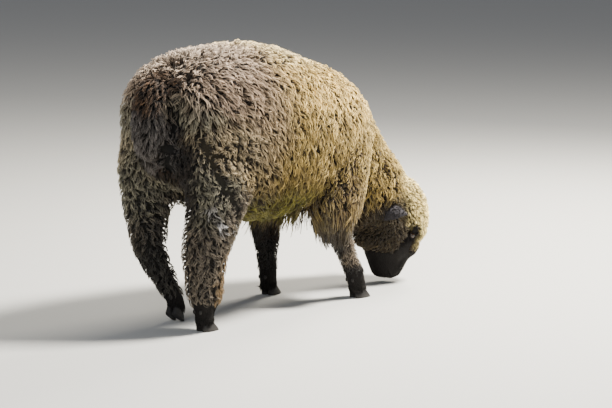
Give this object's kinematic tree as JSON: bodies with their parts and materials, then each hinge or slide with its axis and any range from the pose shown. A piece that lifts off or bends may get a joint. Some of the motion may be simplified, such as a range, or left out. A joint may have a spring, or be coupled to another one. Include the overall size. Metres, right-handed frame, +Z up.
{
  "type": "sheep",
  "caption": "Still life-size model of a polled, woolly brown sheep that stands and grazes, its head down and turned to its right.",
  "frame": {"origin": "on the floor under the middle of the animal's box", "axes": "+X towards the head, +Y to the animal's left, +Z up"},
  "size_m": [1.0658, 0.4012, 0.6898],
  "materials": {
    "fleece": "tan to golden brown wool in soft crimped locks, darker at the roots",
    "dark_fleece": "dark chocolate wool in tight curls",
    "short_hair": "short, flat, black-brown hair with a slight sheen",
    "horn": "grey-black worn horn",
    "eye": "wet, glossy amber-brown eye with a level dark pupil"
  },
  "bodies": {
    "root": {"trunk": "fleece", "neck": "fleece", "head": "fleece", "tail": "dark_fleece", "ear_left": "short_hair", "eye_left": "eye", "hindleg_left_thigh": "dark_fleece", "hindleg_left_shank": "dark_fleece", "hindleg_left_foot": "short_hair", "foreleg_left_upper": "dark_fleece", "foreleg_left_lower": "dark_fleece", "foreleg_left_foot": "short_hair", "claw_hind_left_inner": "horn", "dewclaw_hind_left_inner": "horn", "claw_hind_left_outer": "horn", "dewclaw_hind_left_outer": "horn", "claw_fore_left_inner": "horn", "dewclaw_fore_left_inner": "horn", "claw_fore_left_outer": "horn", "dewclaw_fore_left_outer": "horn", "ear_right": "short_hair", "eye_right": "eye", "hindleg_right_thigh": "dark_fleece", "hindleg_right_shank": "dark_fleece", "hindleg_right_foot": "short_hair", "foreleg_right_upper": "dark_fleece", "foreleg_right_lower": "dark_fleece", "foreleg_right_foot": "short_hair", "claw_hind_right_inner": "horn", "dewclaw_hind_right_inner": "horn", "claw_hind_right_outer": "horn", "dewclaw_hind_right_outer": "horn", "claw_fore_right_inner": "horn", "dewclaw_fore_right_inner": "horn", "claw_fore_right_outer": "horn", "dewclaw_fore_right_outer": "horn"}
  },
  "joints": []
}
